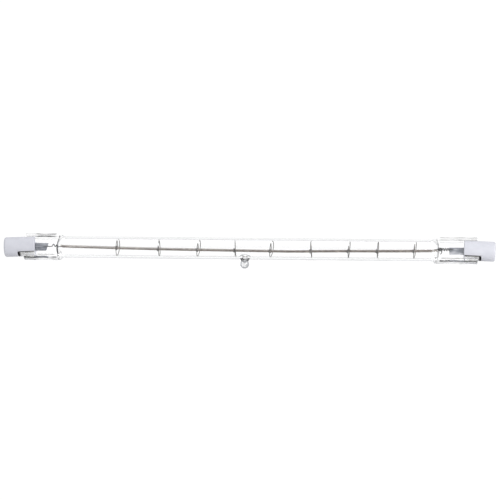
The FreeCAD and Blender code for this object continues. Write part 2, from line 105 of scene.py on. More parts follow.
def face_outward(piece):
    work = bmesh.new()
    work.from_mesh(piece.data)
    bmesh.ops.recalc_face_normals(work, faces=work.faces)
    work.to_mesh(piece.data)
    work.free()


def soften(piece, angle):
    """Smooth shading everywhere but over edges that turn by more than the angle."""
    work = bmesh.new()
    work.from_mesh(piece.data)
    for edge in work.edges:
        edge.smooth = len(edge.link_faces) == 2 and edge.calc_face_angle(0) < math.radians(angle)
    for face in work.faces:
        face.smooth = True
    work.to_mesh(piece.data)
    work.free()


def tube_mesh(path, radius, sides):
    """Verts and faces of a round wire along a path (n by 3, in millimetres), with no twist in it."""
    path = np.asarray(path, float)
    count = len(path)
    tangent = np.gradient(path, axis=0)
    tangent /= np.linalg.norm(tangent, axis=1)[:, None]
    start = np.array([0.0, 0.0, 1.0]) if abs(tangent[0][2]) < 0.9 else np.array([0.0, 1.0, 0.0])
    normal = np.empty_like(path)
    side = start - tangent[0] * start.dot(tangent[0])
    normal[0] = side / np.linalg.norm(side)
    for i in range(1, count):
        side = normal[i - 1] - tangent[i] * normal[i - 1].dot(tangent[i])
        normal[i] = side / np.linalg.norm(side)
    binormal = np.cross(tangent, normal)
    turn = np.linspace(0, 2 * math.pi, sides, endpoint=False)
    c, s = np.cos(turn)[None, :, None], np.sin(turn)[None, :, None]
    ring = c * normal[:, None, :] + s * binormal[:, None, :]
    verts = (path[:, None, :] + ring * radius).reshape(-1, 3)
    faces = []
    for i in range(count - 1):
        a, b = i * sides, (i + 1) * sides
        for j in range(sides):
            k = (j + 1) % sides
            faces.append((a + j, a + k, b + k, b + j))
    faces.append(tuple(range(sides - 1, -1, -1)))
    faces.append(tuple(range((count - 1) * sides, count * sides)))
    return verts, faces


def joined(parts):
    """One mesh from several (verts, faces)."""
    verts, faces, start = [], [], 0
    for some_verts, some_faces in parts:
        verts.append(np.asarray(some_verts))
        faces += [tuple(i + start for i in face) for face in some_faces]
        start += len(some_verts)
    return np.concatenate(verts), faces


def lathe(profile, sides):
    """A turned form about X: profile is a closed outline of (x, radius)."""
    turn = np.linspace(0, 2 * math.pi, sides, endpoint=False)
    verts = [(x, r * math.cos(t), r * math.sin(t)) for x, r in profile for t in turn]
    faces, count = [], len(profile)
    for i in range(count):
        a, b = i * sides, ((i + 1) % count) * sides
        for j in range(sides):
            k = (j + 1) % sides
            faces.append((a + j, b + j, b + k, a + k))
    return np.array(verts), faces


def solid_lathe(profile, sides):
    """A turned form about X whose outline starts and ends on the axis."""
    inner = [p for p in profile if p[1] > 1e-9]
    turn = np.linspace(0, 2 * math.pi, sides, endpoint=False)
    verts = [(x, r * math.cos(t), r * math.sin(t)) for x, r in inner for t in turn]
    faces = []
    for i in range(len(inner) - 1):
        a, b = i * sides, (i + 1) * sides
        for j in range(sides):
            k = (j + 1) % sides
            faces.append((a + j, b + j, b + k, a + k))
    first, last = len(verts), len(verts) + 1
    verts += [(profile[0][0], 0, 0), (profile[-1][0], 0, 0)]
    end = (len(inner) - 1) * sides
    for j in range(sides):
        k = (j + 1) % sides
        faces.append((first, j, k))
        faces.append((last, end + k, end + j))
    return np.array(verts), faces


def rounded(profile, roundings, steps):
    """The closed outline with the corners named in roundings {index: radius} rounded off."""
    result, count = [], len(profile)
    for i, point in enumerate(profile):
        radius = roundings.get(i)
        here = Vector(point)
        if not radius:
            result.append(tuple(here))
            continue
        before = (Vector(profile[i - 1]) - here).normalized()
        after = (Vector(profile[(i + 1) % count]) - here).normalized()
        half = before.angle(after) / 2
        reach = radius / math.tan(half)
        middle = here + (before + after).normalized() * (radius / math.sin(half))
        start, end = here + before * reach, here + after * reach
        a, b = start - middle, end - middle
        for step in range(steps + 1):
            share = step / steps
            turned = a.lerp(b, share).normalized() * radius
            result.append(tuple(middle + turned))
    return result


def boolean(piece, other, operation):
    """Join the other form to the piece or cut it away, and use it up."""
    modifier = piece.modifiers.new(operation, "BOOLEAN")
    modifier.object = other
    modifier.operation = operation
    modifier.solver = "EXACT"
    bpy.context.view_layer.update()
    done = piece.evaluated_get(bpy.context.evaluated_depsgraph_get())
    mesh = bpy.data.meshes.new_from_object(done)
    piece.modifiers.clear()
    old = piece.data
    piece.data = mesh
    bpy.data.meshes.remove(old)
    bpy.data.objects.remove(other)


def scratch(verts, faces):
    """A tool body for a boolean: outward faces and no part in the frame."""
    piece = new_piece("tool", np.asarray(verts) * MM, faces, None, None)
    face_outward(piece)
    return piece


def smoothstep(low, high, value):
    t = np.clip((value - low) / (high - low), 0, 1)
    return t * t * (3 - 2 * t)


# Node helpers

def node_adder(tree):
    """A function that adds a node to the tree, with its settings, its inputs' values and its links."""
    def add(kind, inputs=None, **settings):
        node = tree.nodes.new(kind)
        for key, value in settings.items():
            setattr(node, key, value)
        for key, value in (inputs or {}).items():
            if isinstance(value, bpy.types.NodeSocket):
                tree.links.new(value, node.inputs[key])
            else:
                node.inputs[key].default_value = value
        return node

    return add


def node_material(name):
    material = bpy.data.materials.new(name)
    material.use_nodes = True
    tree = material.node_tree
    return material, tree.nodes["Principled BSDF"], node_adder(tree), tree.links


def maths_adder(add):
    def maths(operation, first, second=0.0, third=0.0, clamp=False):
        inputs = {0: first, 1: second, 2: third}
        return add("ShaderNodeMath", inputs, operation=operation, use_clamp=clamp).outputs[0]

    return maths


def range_adder(add):
    def rising(value, start, end):
        """0 up to the start, in millimetres, and 1 past the end."""
        inputs = {"Value": value, "From Min": start * MM, "From Max": end * MM}
        return add("ShaderNodeMapRange", inputs).outputs["Result"]

    return rising


def own_axes(add, place):
    """The lamp's own X, Y and Z, before it is rolled to rest, with Y across the pinch seals."""
    level = add("ShaderNodeVectorRotate", {"Vector": place, "Angle": -RESTING_ANGLE}, rotation_type="X_AXIS")
    return add("ShaderNodeSeparateXYZ", {"Vector": level.outputs["Vector"]}).outputs


def ramp(add, factor, stops):
    """The colours at their places along a factor, blended between."""
    node = add("ShaderNodeValToRGB", {"Fac": factor})
    elements = node.color_ramp.elements
    while len(elements) < len(stops):
        elements.new(0.5)
    for element, (place, colour) in zip(elements, stops):
        element.position = place
        element.color = (*colour, 1)
    return node.outputs["Color"]


def make_quartz():
    material, shader, add, links = node_material("clear_quartz")
    maths, rising = maths_adder(add), range_adder(add)
    place = add("ShaderNodeTexCoord").outputs["Object"]
    own = own_axes(add, place)

    def band(value, middle, half):
        """1 about the middle, falling to 0 half a width away."""
        offset = maths("ABSOLUTE", maths("SUBTRACT", value, middle * MM))
        return maths("MULTIPLY_ADD", offset, -2 / (half * MM), 2.0, clamp=True)

    across, over = maths("ABSOLUTE", own["Y"]), own["Z"]
    beyond = maths("ABSOLUTE", own["X"])
    # The two pinch seals begin equally far from a middle that lies a little to the left
    from_middle = maths("ABSOLUTE", maths("ADD", own["X"], PINCH_OFFSET * MM))
    on_left = maths("LESS_THAN", own["X"], 0.0)
    pressed = rising(from_middle, 73.6, 74.6)
    pressed_or_near = maths("GREATER_THAN", from_middle, 70 * MM)

    # Painted dark lines of refraction on the flanges' edges, the far one's fainter behind the left cap
    far_edge = maths("MULTIPLY", rising(own["Y"], 4.3, 4.6), band(over, 1.7, 1.0))
    far_inner = maths("MULTIPLY", maths("MULTIPLY", band(own["Y"], 3.88, 0.24), band(over, 1.4, 0.6)), 0.7)
    hidden = maths("MULTIPLY", rising(beyond, 81.5, 83.0), on_left)
    far = maths("MULTIPLY", maths("MAXIMUM", far_edge, far_inner), maths("MULTIPLY_ADD", on_left, 0.4, 0.5))
    far = maths("MULTIPLY", far, maths("MULTIPLY_ADD", hidden, -0.8, 1.0))
    outer = band(own["Y"], -PINCH_REACH, 0.5)
    wall = maths("MULTIPLY", outer, maths("MULTIPLY", band(over, 0.0, 0.5), 0.5))
    left_end = maths("MULTIPLY", rising(beyond, 79.5, 82.0), on_left)
    broad = maths("MULTIPLY", outer, band(over, -0.1, 2.2))
    broad = maths("MULTIPLY", broad, maths("MULTIPLY", left_end, 0.3))
    near = maths("MULTIPLY", maths("MULTIPLY", band(own["Y"], -4.4, 0.2), band(over, 1.8, 0.4)), 0.6)
    edges = maths("MAXIMUM", maths("MAXIMUM", far, broad), maths("MAXIMUM", wall, near))
    edges = maths("MULTIPLY", edges, pressed)
    # A painted dark line of refraction along the curved fold where the jaws of the press ended, bolder on the
    # left and faint in the flanges
    fold_x, fold_curve = 73.5, 44.0
    bent = maths("MULTIPLY_ADD", maths("MULTIPLY", across, across), fold_curve, from_middle)
    fold = maths("MULTIPLY", band(bent, fold_x, 0.32), maths("MULTIPLY_ADD", on_left, 0.35, 0.4))
    thick = maths("MULTIPLY", band(bent, fold_x, 0.42), maths("MULTIPLY", band(own["Y"], -0.9, 2.0), on_left))
    fold = maths("MAXIMUM", fold, thick)
    fold = maths("MULTIPLY", fold, maths("MULTIPLY_ADD", rising(across, 3.9, 4.5), -0.92, 1.0))
    # Painted dark lines of refraction round the exhaust tip's root
    aside = maths("ABSOLUTE", maths("SUBTRACT", own["X"], TIP_X * MM))
    corner = maths("MULTIPLY", band(across, 5.45, 0.7), band(aside, 1.7, 1.0))
    root = maths("MAXIMUM", maths("MULTIPLY", band(across, 5.3, 0.25), 0.8), corner)
    # The painted dark lines of refraction together, patchy in strength
    lines = maths("MAXIMUM", maths("MAXIMUM", edges, fold), root)
    patchy = add("ShaderNodeTexNoise", {"Vector": place, "Scale": 420.0, "Detail": 2.0}).outputs["Fac"]
    strength = maths("MULTIPLY_ADD", patchy, 2.4, 0.2)
    refraction_lines_and_streaks = maths("MULTIPLY", lines, strength, clamp=True)
    # The bead's melted glass is streaky
    melt = add("ShaderNodeTexNoise", {"Vector": place, "Scale": 1400.0, "Detail": 1.0}).outputs["Fac"]
    streaks = maths("MULTIPLY", maths("MULTIPLY_ADD", melt, 3.0, -1.2, clamp=True), 0.5)
    refraction_lines_and_streaks = maths("MAXIMUM", refraction_lines_and_streaks, maths("MULTIPLY", streaks, maths("GREATER_THAN", across, 5.7 * MM)))

    # Painted grey rims, standing in for the dark that glass refracts at grazing angles: from any side, the
    # near half's more, and the solid bead's most
    facing = add("ShaderNodeLayerWeight", {"Blend": 0.5}).outputs["Facing"]
    facing = maths("MULTIPLY_ADD", maths("GREATER_THAN", across, 5.9 * MM), 0.4, facing)
    facing = maths("MULTIPLY_ADD", maths("LESS_THAN", own["Y"], 0.0), 0.12, facing)
    clear = (0.995, 0.997, 0.998)
    greys = [(0.42, clear), (0.6, (0.9, 0.905, 0.91)), (0.76, (0.62, 0.63, 0.65)), (0.92, (0.3, 0.31, 0.33))]
    rim = ramp(add, facing, greys)
    painted_shade_tint = add("ShaderNodeMixRGB", {"Fac": refraction_lines_and_streaks, "Color1": rim, "Color2": (0.012, 0.012, 0.013, 1)})
    links.new(painted_shade_tint.outputs["Color"], shader.inputs["Base Color"])
    # Painted shade on grazing reflections as well, but not at and near the pinches
    rim_reflection_shade = add("ShaderNodeMixRGB", {"Fac": pressed_or_near, "Color1": rim, "Color2": (*clear, 1)})
    links.new(rim_reflection_shade.outputs["Color"], shader.inputs["Specular Tint"])
    shader.inputs["Roughness"].default_value = 0.0
    shader.inputs["IOR"].default_value = 1.458
    shader.inputs["Transmission Weight"].default_value = 1.0
    stretched = add("ShaderNodeMapping", {"Vector": place, "Scale": (60, 260, 260)}).outputs["Vector"]
    waves = add("ShaderNodeTexNoise", {"Vector": stretched, "Scale": 1.0, "Detail": 2.0}).outputs["Fac"]
    bump = add("ShaderNodeBump", {"Height": waves, "Strength": 0.06, "Distance": 0.0006})
    links.new(bump.outputs["Normal"], shader.inputs["Normal"])
    # Light that bounces on inside the glass gets out, soonest at the shoulders, and shadows are faint
    path = add("ShaderNodeLightPath")
    shoulder = band(from_middle, 72.3, 2.6)
    allowed = maths("MULTIPLY_ADD", rising(from_middle, 50, 64), -4.0, 7.5)
    allowed = maths("MULTIPLY_ADD", shoulder, -2.0, allowed)
    trapped = maths("GREATER_THAN", path.outputs["Ray Depth"], allowed)
    lit = maths("MULTIPLY_ADD", path.outputs["Is Shadow Ray"], -0.94, 1.0)
    links.new(maths("SUBTRACT", lit, trapped, clamp=True), shader.inputs["Alpha"])
    return material


def make_ceramic():
    material, shader, add, links = node_material("cap_ceramic")
    place = add("ShaderNodeTexCoord").outputs["Object"]
    cloud = add("ShaderNodeTexNoise", {"Vector": place, "Scale": 260.0, "Detail": 4.0}).outputs["Fac"]
    colour = ramp(add, cloud, [(0.3, (0.685, 0.69, 0.75)), (0.7, (0.755, 0.76, 0.815))])
    # Painted shade in the slot's closed end
    maths, own = maths_adder(add), own_axes(add, place)
    inside = 1.0
    for letter, middle, reach in (("X", 89.0, 0.45), ("Y", 0.0, 3.35), ("Z", 0.0, 2.05)):
        near = maths("COMPARE", maths("ABSOLUTE", own[letter]), middle * MM, reach * MM)
        inside = maths("MULTIPLY", inside, near)
    slot_end_shade = add("ShaderNodeMixRGB", {"Fac": inside, "Color1": colour, "Color2": (0.08, 0.078, 0.08, 1)})
    links.new(slot_end_shade.outputs["Color"], shader.inputs["Base Color"])
    shader.inputs["Roughness"].default_value = 0.62
    grain = add("ShaderNodeTexNoise", {"Vector": place, "Scale": 4200.0, "Detail": 3.0}).outputs["Fac"]
    bump = add("ShaderNodeBump", {"Height": grain, "Strength": 0.25, "Distance": 0.00003})
    links.new(bump.outputs["Normal"], shader.inputs["Normal"])
    return material


def make_cement():
    """Pale cement, in shade under the slot's upper edge and at its closed end."""
    material, shader, add, links = node_material("cap_cement")
    place = add("ShaderNodeTexCoord").outputs["Object"]
    cloud = add("ShaderNodeTexNoise", {"Vector": place, "Scale": 1400.0, "Detail": 5.0}).outputs["Fac"]
    maths, rising, own = maths_adder(add), range_adder(add), own_axes(add, place)
    end = rising(maths("ABSOLUTE", own["X"]), 88.15, 88.4)
    shade = maths("MAXIMUM", rising(own["Z"], 0.5, 1.0), end)
    pale = ramp(add, cloud, [(0.3, (0.72, 0.72, 0.71)), (0.6, (0.93, 0.93, 0.92))])
    colour = add("ShaderNodeMixRGB", {"Fac": shade, "Color1": pale, "Color2": (0.07, 0.068, 0.068, 1)})
    links.new(colour.outputs["Color"], shader.inputs["Base Color"])
    shader.inputs["Roughness"].default_value = 0.9
    bump = add("ShaderNodeBump", {"Height": cloud, "Strength": 0.7, "Distance": 0.0002})
    links.new(bump.outputs["Normal"], shader.inputs["Normal"])
    return material


def make_wire(name, dark, light, roughness, scale):
    material, shader, add, links = node_material(name)
    place = add("ShaderNodeTexCoord").outputs["Object"]
    cloud = add("ShaderNodeTexNoise", {"Vector": place, "Scale": scale, "Detail": 3.0}).outputs["Fac"]
    links.new(ramp(add, cloud, [(0.35, dark), (0.65, light)]), shader.inputs["Base Color"])
    shader.inputs["Metallic"].default_value = 1.0
    shader.inputs["Roughness"].default_value = roughness
    bump = add("ShaderNodeBump", {"Height": cloud, "Strength": 0.3, "Distance": 0.00002})
    links.new(bump.outputs["Normal"], shader.inputs["Normal"])
    return material


def make_foil():
    """Rolled molybdenum: fine lines along the foil and cloudy oxide tones."""
    material, shader, add, links = node_material("sealing_foil")
    place = add("ShaderNodeTexCoord").outputs["Object"]
    lines = add("ShaderNodeMapping", {"Vector": place, "Scale": (160, 3200, 300)}).outputs["Vector"]
    rolled = add("ShaderNodeTexNoise", {"Vector": lines, "Scale": 1.0, "Detail": 2.0}).outputs["Fac"]
    cloud = add("ShaderNodeTexNoise", {"Vector": place, "Scale": 700.0, "Detail": 3.0}).outputs["Fac"]
    maths, rising = maths_adder(add), range_adder(add)
    tone = maths("MULTIPLY_ADD", rolled, 1.6, -0.55)
    tone = maths("MULTIPLY_ADD", cloud, 0.5, tone)
    # The right foil is paler on its near side
    spot = add("ShaderNodeSeparateXYZ", {"Vector": place}).outputs
    paler = maths("MULTIPLY", maths("GREATER_THAN", spot["X"], 0.0), rising(spot["Y"], -0.7, -1.0))
    tone = maths("MULTIPLY_ADD", paler, 0.32, tone)
    greys = [(0.2, (0.13, 0.14, 0.165)), (0.7, (0.36, 0.375, 0.41)), (1.0, (0.66, 0.66, 0.69))]
    links.new(ramp(add, tone, greys), shader.inputs["Base Color"])
    shader.inputs["Metallic"].default_value = 0.85
    shader.inputs["Roughness"].default_value = 0.45
    bump = add("ShaderNodeBump", {"Height": rolled, "Strength": 0.4, "Distance": 0.00002})
    links.new(bump.outputs["Normal"], shader.inputs["Normal"])
    return material


quartz = make_quartz()
ceramic = make_ceramic()
cement = make_cement()
tungsten = make_wire("wound_tungsten", (0.235, 0.20, 0.175), (0.38, 0.335, 0.30), 0.5, 900.0)
support_metal = make_wire("support_wire", (0.12, 0.11, 0.105), (0.22, 0.21, 0.2), 0.5, 1500.0)
lead_metal = make_wire("lead_wire", (0.07, 0.07, 0.072), (0.17, 0.17, 0.175), 0.45, 1500.0)
contact_metal = make_wire("contact_metal", (0.55, 0.54, 0.5), (0.72, 0.71, 0.68), 0.28, 1200.0)
foil_metal = make_foil()


# Quartz envelope

AROUND = 128
END_ROUND = 0.35  # of a pinch's outer end
JAW_BOW = 1.1  # of the line where the press's jaws ended
TIP_ZONE = 3.6  # either side of the exhaust tip
turns = np.linspace(0, 2 * math.pi, AROUND, endpoint=False)


def even_outline(outline):
    """Points of a closed outline evenly spread along its length, starting at +Y and running to +Z."""
    closed_outline = np.vstack([outline, outline[:1]])
    steps = np.linalg.norm(np.diff(closed_outline, axis=0), axis=1)
    total = np.concatenate([[0], np.cumsum(steps)])
    spots = np.linspace(0, total[-1], AROUND, endpoint=False)
    return np.interp(spots, total, closed_outline[:, 0]), np.interp(spots, total, closed_outline[:, 1])


def pinch_outline():
    """The pressed seal's section: thick rounded flanges either side of a thinner web."""
    reach, rise, web, thin = PINCH_REACH, PINCH_RISE, WEB_REACH, WEB_RISE
    corner = [(reach, 0), (reach, rise), (web, rise), (web, thin)]
    upper = corner + [(-y, z) for y, z in reversed(corner)]
    lower = [(y, -z) for y, z in reversed(upper)][1:-1]
    outline = upper + lower
    radii = {}
    for i, (y, z) in enumerate(outline):
        if z == 0:
            continue
        radii[i] = 0.45 if abs(y) == reach or abs(z) == rise else 0.35
    return np.array(rounded(outline, radii, steps=8))


flat_y, flat_z = even_outline(pinch_outline())
round_y, round_z = even_outline(np.column_stack([np.cos(turns), np.sin(turns)]))


def envelope_section(x):
    """The outline of the quartz at x: pinch, shoulder or tube."""
    side = "left" if x < 0 else "right"
    outward = -1 if side == "left" else 1
    past_root = outward * (x - PINCH_ROOT[side])
    past_tube = outward * (x - TUBE_END[side])
    if past_tube <= 0:
        return round_y * TUBE_R, round_z * TUBE_R
    if past_root >= 0:
        end = outward * (PINCH_END[side] - x)
        y, z = flat_y.copy(), flat_z.copy()
        # The flanges' edges are a little uneven
        swell = 0.1 * (math.sin(past_root * 0.9) - 1) * min(1, end / 3, past_root / 2)
        y = y + np.sign(y) * swell * (np.abs(y) > WEB_REACH)
        if end < END_ROUND:
            shrink = END_ROUND - math.sqrt(max(0, END_ROUND**2 - (END_ROUND - end) ** 2))
            y = y - np.sign(y) * shrink * np.minimum(1, np.abs(y) / END_ROUND)
            z = z - np.sign(z) * shrink * np.minimum(1, np.abs(z) / END_ROUND)
        return y, z
    share = past_tube / (past_tube - past_root)
    ease = smoothstep(0.0, 1.0, share)
    fall = 1 - math.sqrt(max(0.0, 1 - share**2.2))
    y = round_y * TUBE_R * (1 - ease) + flat_y * ease
    z = round_z * TUBE_R * (1 - fall) + flat_z * fall
    return y, z


def bowed(x, y):
    """The pinch jaws' edge is curved: away from the middle, the shoulder's step lies nearer the tube."""
    side = "left" if x < 0 else "right"
    outward = -1 if side == "left" else 1
    past_tube = outward * (x - TUBE_END[side])
    past_root = outward * (x - PINCH_ROOT[side])
    weight = smoothstep(0, 2.8, past_tube) * (1 - smoothstep(0.3, 5.0, past_root))
    return x - outward * JAW_BOW * weight * (y / PINCH_REACH) ** 2


def collar(y, z, x):
    """How far the tube's wall swells into the root of the exhaust tip."""
    soft, most = 1.15, 0.7
    distance = np.hypot(x - TIP_X, z)
    gap = np.clip(NECK_R + soft - distance, 0, soft)
    height = soft - np.sqrt(soft**2 - gap**2)
    return np.where(y < 0, np.minimum(height, most), 0)


def stations():
    """Where the envelope's outlines lie: closest at the rounded ends, the shoulders and the exhaust tip."""
    rounding = np.array([0.0, 0.02, 0.06, 0.12, 0.2, END_ROUND])
    left = np.concatenate([
        PINCH_END["left"] + rounding,
        np.linspace(PINCH_END["left"] + 2 * END_ROUND, PINCH_ROOT["left"], 34),
        np.linspace(PINCH_ROOT["left"], TUBE_END["left"], 22)[1:],
    ])
    right = np.concatenate([
        np.linspace(TUBE_END["right"], PINCH_ROOT["right"], 22),
        np.linspace(PINCH_ROOT["right"], PINCH_END["right"] - 2 * END_ROUND, 34)[1:],
        PINCH_END["right"] - rounding[::-1],
    ])
    middle = np.concatenate([
        np.linspace(TUBE_END["left"], TIP_X - TIP_ZONE, 12)[1:-1],
        np.linspace(TIP_X - TIP_ZONE, TIP_X + TIP_ZONE, 48),
        np.linspace(TIP_X + TIP_ZONE, TUBE_END["right"], 12)[1:-1],
    ])
    return np.concatenate([left, middle, right])


def bore_form():
    """The bore's hollow: round, and pinched at each end to a curved, blunt chisel."""
    around = 112
    turn = np.linspace(0, 2 * math.pi, around, endpoint=False)
    steps = 14

    def end_rings(side):
        outward = -1 if side == "left" else 1
        for step in range(steps, 0, -1):
            share = math.sin(math.pi / 2 * step / steps)
            flat = math.cos(math.pi / 2 * step / steps)
            y = BORE_R * np.cos(turn) * (1 - 0.10 * share**4)
            reach = BORE_CLOSE[side] - outward * JAW_BOW * (y / BORE_R) ** 2
            x = TUBE_END[side] + (reach - TUBE_END[side]) * share
            yield np.column_stack([x, y, BORE_R * np.sin(turn) * flat])

    left, right = list(end_rings("left")), list(end_rings("right"))
    rings = left[1:]
    for x in np.linspace(TUBE_END["left"], TUBE_END["right"], 9):
        rings.append(np.column_stack([np.full(around, x), BORE_R * np.cos(turn), BORE_R * np.sin(turn)]))
    rings += list(reversed(right))[:-1]
    half = around // 2
    verts = np.concatenate(rings + [left[0][: half + 1], right[0][: half + 1]])
    faces = []
    for i in range(len(rings) - 1):
        a, b = i * around, (i + 1) * around
        for j in range(around):
            k = (j + 1) % around
            faces.append((a + j, a + k, b + k, b + j))
    last, edges = (len(rings) - 1) * around, len(rings) * around
    for first, edge in ((0, edges), (last, edges + half + 1)):
        for j in range(around):
            k = (j + 1) % around
            faces.append((first + j, first + k, edge + min(k, around - k), edge + min(j, around - j)))
    return verts, faces


def build_envelope():
    xs = stations()
    rings = []
    for x in xs:
        y, z = envelope_section(x)
        if abs(x - TIP_X) < TIP_ZONE:
            lift = 1 + collar(y, z, x) / TUBE_R
            y, z = y * lift, z * lift
        rings.append(np.column_stack([bowed(x, y), y, z]))
    verts = np.concatenate(rings)
    faces = []
    for i in range(len(xs) - 1):
        a, b = i * AROUND, (i + 1) * AROUND
        for j in range(AROUND):
            k = (j + 1) % AROUND
            faces.append((a + j, a + k, b + k, b + j))
    faces.append(tuple(range(AROUND - 1, -1, -1)))
    faces.append(tuple(range((len(xs) - 1) * AROUND, len(xs) * AROUND)))
    envelope = new_piece("quartz_body", verts * MM, faces, quartz, "quartz")
    face_outward(envelope)

    # The melted-off stub: neck, waist and bead, turned about -Y
    middle = TIP_END - BEAD_R
    waist = middle - 1.25
    foot = 3.75  # inside the tube's wall
    profile = [(foot, 0.0), (foot, NECK_R + 0.06)]
    profile += [(TUBE_R + 0.55, NECK_R + 0.04), (waist - 0.15, NECK_R - 0.12)]
    for step in range(15):
        angle = math.radians(-52 + 142 * step / 14)
        profile.append((middle + BEAD_R * math.sin(angle), BEAD_R * math.cos(angle)))
    profile[-1] = (TIP_END, 0.0)
    verts, faces = solid_lathe(profile, 40)
    placed = np.column_stack([TIP_X + verts[:, 1], -verts[:, 0], verts[:, 2]])
    boolean(envelope, scratch(placed, faces), "UNION")

    verts, faces = bore_form()
    bore = scratch(verts, faces)
    # The channel into the tip narrows from the bore to a round end
    mouth, narrow, end_r = 2.9, TUBE_R + 2.1, 0.42
    profile = [(mouth, 0.0), (mouth, 0.8), (TUBE_R + 0.5, 0.66), (TUBE_R + 1.4, 0.5), (narrow, end_r)]
    for step in range(1, 8):
        angle = math.pi / 2 * step / 7
        profile.append((narrow + end_r * math.sin(angle), end_r * math.cos(angle)))
    profile[-1] = (narrow + end_r, 0.0)
    verts, faces = solid_lathe(profile, 32)
    placed = np.column_stack([TIP_X + verts[:, 1], -verts[:, 0], verts[:, 2]])
    boolean(bore, scratch(placed, faces), "UNION")
    boolean(envelope, bore, "DIFFERENCE")
    soften(envelope, 32)
    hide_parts("quartz_envelope")


build_envelope()


# Filament

COIL_MIDDLE = (COIL_ENDS[0] + COIL_ENDS[1]) / 2
COIL_REACH = (COIL_ENDS[1] - COIL_ENDS[0]) / 2
# Hung by hand, it isn't a true arc: at each X, how much further it hangs
KNOTS = [-75, -64, -52, -40, -28, -16, -4, 8, 17, 26, 36, 46, 57, 68, 75]
LEANINGS = [-0.18, -0.2, -0.15, -0.1, -0.07, -0.05, 0.02, 0.14, 0.26, 0.12, 0.08, 0.14, 0.22, 0.25, 0.26]
STRAY_X = np.linspace(-75, 75, 301)
SMOOTHING = np.hanning(41) / np.hanning(41).sum()
STRAY = np.convolve(np.pad(np.interp(STRAY_X, KNOTS, LEANINGS), 20, mode="edge"), SMOOTHING, "valid")


def coil_spine(x):
    """The filament's middle line at x: between its two ends it sags to -Y and down."""
    share = (np.asarray(x) - COIL_MIDDLE) / COIL_REACH
    away = COIL_BOW * (1 - share**2) - COIL_LIFT
    away = away + np.interp(x, STRAY_X, STRAY)
    return -away * math.cos(COIL_ANGLE), -away * math.sin(COIL_ANGLE)


def build_filament():
    pitch, per_turn = 0.324, 18
    start, end = COIL_ENDS[0] - 0.1, COIL_ENDS[1] + 0.1
    count = int((end - start) / pitch * per_turn)
    x = np.linspace(start, end, count)
    rng = np.random.default_rng(7)
    knots = np.linspace(start, end, 60)
    uneven = np.interp(x, knots, rng.normal(0, 0.05, len(knots)))
    turn = 2 * math.pi * (x - start) / pitch + uneven * 6
    y, z = coil_spine(x)
    winding = COIL_R - COIL_WIRE_R
    path = np.column_stack([x, y + winding * np.cos(turn), z + winding * np.sin(turn)])
    verts, faces = tube_mesh(path, COIL_WIRE_R, 6)
    piece = new_piece("filament_winding", verts * MM, faces, tungsten, "tungsten")
    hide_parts("filament_coil")


build_filament()


# Supports

# Each support's place along the coil, the angle of its arm and the lean of its ring
SUPPORTS = [
    (-0.695, 70, 5),
    (-0.472, 110, -4),
    (-0.262, 85, 8),
    (-0.065, 250, 4),
    (0.127, 75, 10),
    (0.34, 65, -7),
    (0.54, 95, 5),
    (0.693, 240, -6),
    (0.889, 80, 9),
]


def build_support(name, share, arm, lean):
    """Nearly two close turns round the filament, a straight arm and an open ring that rides in the bore."""
    x = COIL_MIDDLE + share * COIL_REACH
    y, z = (float(v) for v in coil_spine(x))
    centre = np.array([y, z])
    arm, lean = math.radians(arm), math.radians(lean)
    along, across = np.array([math.cos(arm), math.sin(arm)]), np.array([math.sin(arm), -math.cos(arm)])
    grip = COIL_R + SUPPORT_WIRE_R + 0.01
    ring = BORE_R - SUPPORT_WIRE_R - 0.06
    eye_length, bend, ring_turn, ring_pitch = 0.62, 0.55, math.radians(332), 0.35
    points = []
    # The eye's turns, which end on the arm's side of the filament
    for step in range(41):
        turn = math.pi * (0.5 + 3.5 * step / 40)
        spot = centre + across * grip * math.cos(turn) + along * grip * math.sin(turn)
        points.append((-eye_length + eye_length * step / 40, *spot))
    # Up the arm and round the bend into the ring
    aside = grip - bend + centre.dot(across)
    above = math.sqrt((ring - bend) ** 2 - aside**2) - centre.dot(along)
    for step in range(1, 9):
        spot = centre + across * grip + along * above * step / 8
        points.append((0.0, *spot))
    into = math.atan2(above + centre.dot(along), aside)
    heart = centre + across * (grip - bend) + along * above
    for step in range(1, 7):
        turn = into * step / 6
        spot = heart + across * bend * math.cos(turn) + along * bend * math.sin(turn)
        points.append((0.0, *spot))
    for step in range(1, 73):
        turn = into + ring_turn * step / 72
        spot = across * ring * math.cos(turn) + along * ring * math.sin(turn)
        points.append((ring_pitch * step / 72, *spot))
    path = np.array(points)
    # Lean about the arm, through the filament's middle
    beside = (path[:, 1:] - centre) @ across
    upright = (path[:, 1:] - centre) @ along
    leaned_x = path[:, 0] * math.cos(lean) + beside * math.sin(lean)
    leaned_y = beside * math.cos(lean) - path[:, 0] * math.sin(lean)
    path = np.column_stack([x + leaned_x, centre + np.outer(leaned_y, across) + np.outer(upright, along)])
    # What would lean into the wall is drawn in
    radial = np.hypot(path[:, 1], path[:, 2])
    most = BORE_R - SUPPORT_WIRE_R - 0.02
    shrink = np.where(radial > most, most / np.maximum(radial, 1e-9), 1)
    path[:, 1:] *= shrink[:, None]
    verts, faces = tube_mesh(path, SUPPORT_WIRE_R, 10)
    piece = new_piece(name + "_wire", verts * MM, faces, support_metal, "tungsten")
    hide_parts(name)


for count, support in enumerate(SUPPORTS, start=1):
    build_support(f"support_{count}", *support)


# Caps and contacts

def on_cap_axis(verts, side):
    """Put a form turned about X on the cap's axis, which droops to -Y about the pinch's outer end."""
    outward = 1 if side == "right" else -1
    angle = -CAP_DROOP if side == "right" else math.pi + CAP_DROOP
    base_x = PINCH_END[side] - outward * INSERTION[side] * math.cos(CAP_DROOP)
    base_y = INSERTION[side] * math.sin(CAP_DROOP)
    c, s = math.cos(angle), math.sin(angle)
    x, y, z = np.asarray(verts).T
    return np.column_stack([base_x + x * c - y * s, base_y + x * s + y * c, z])


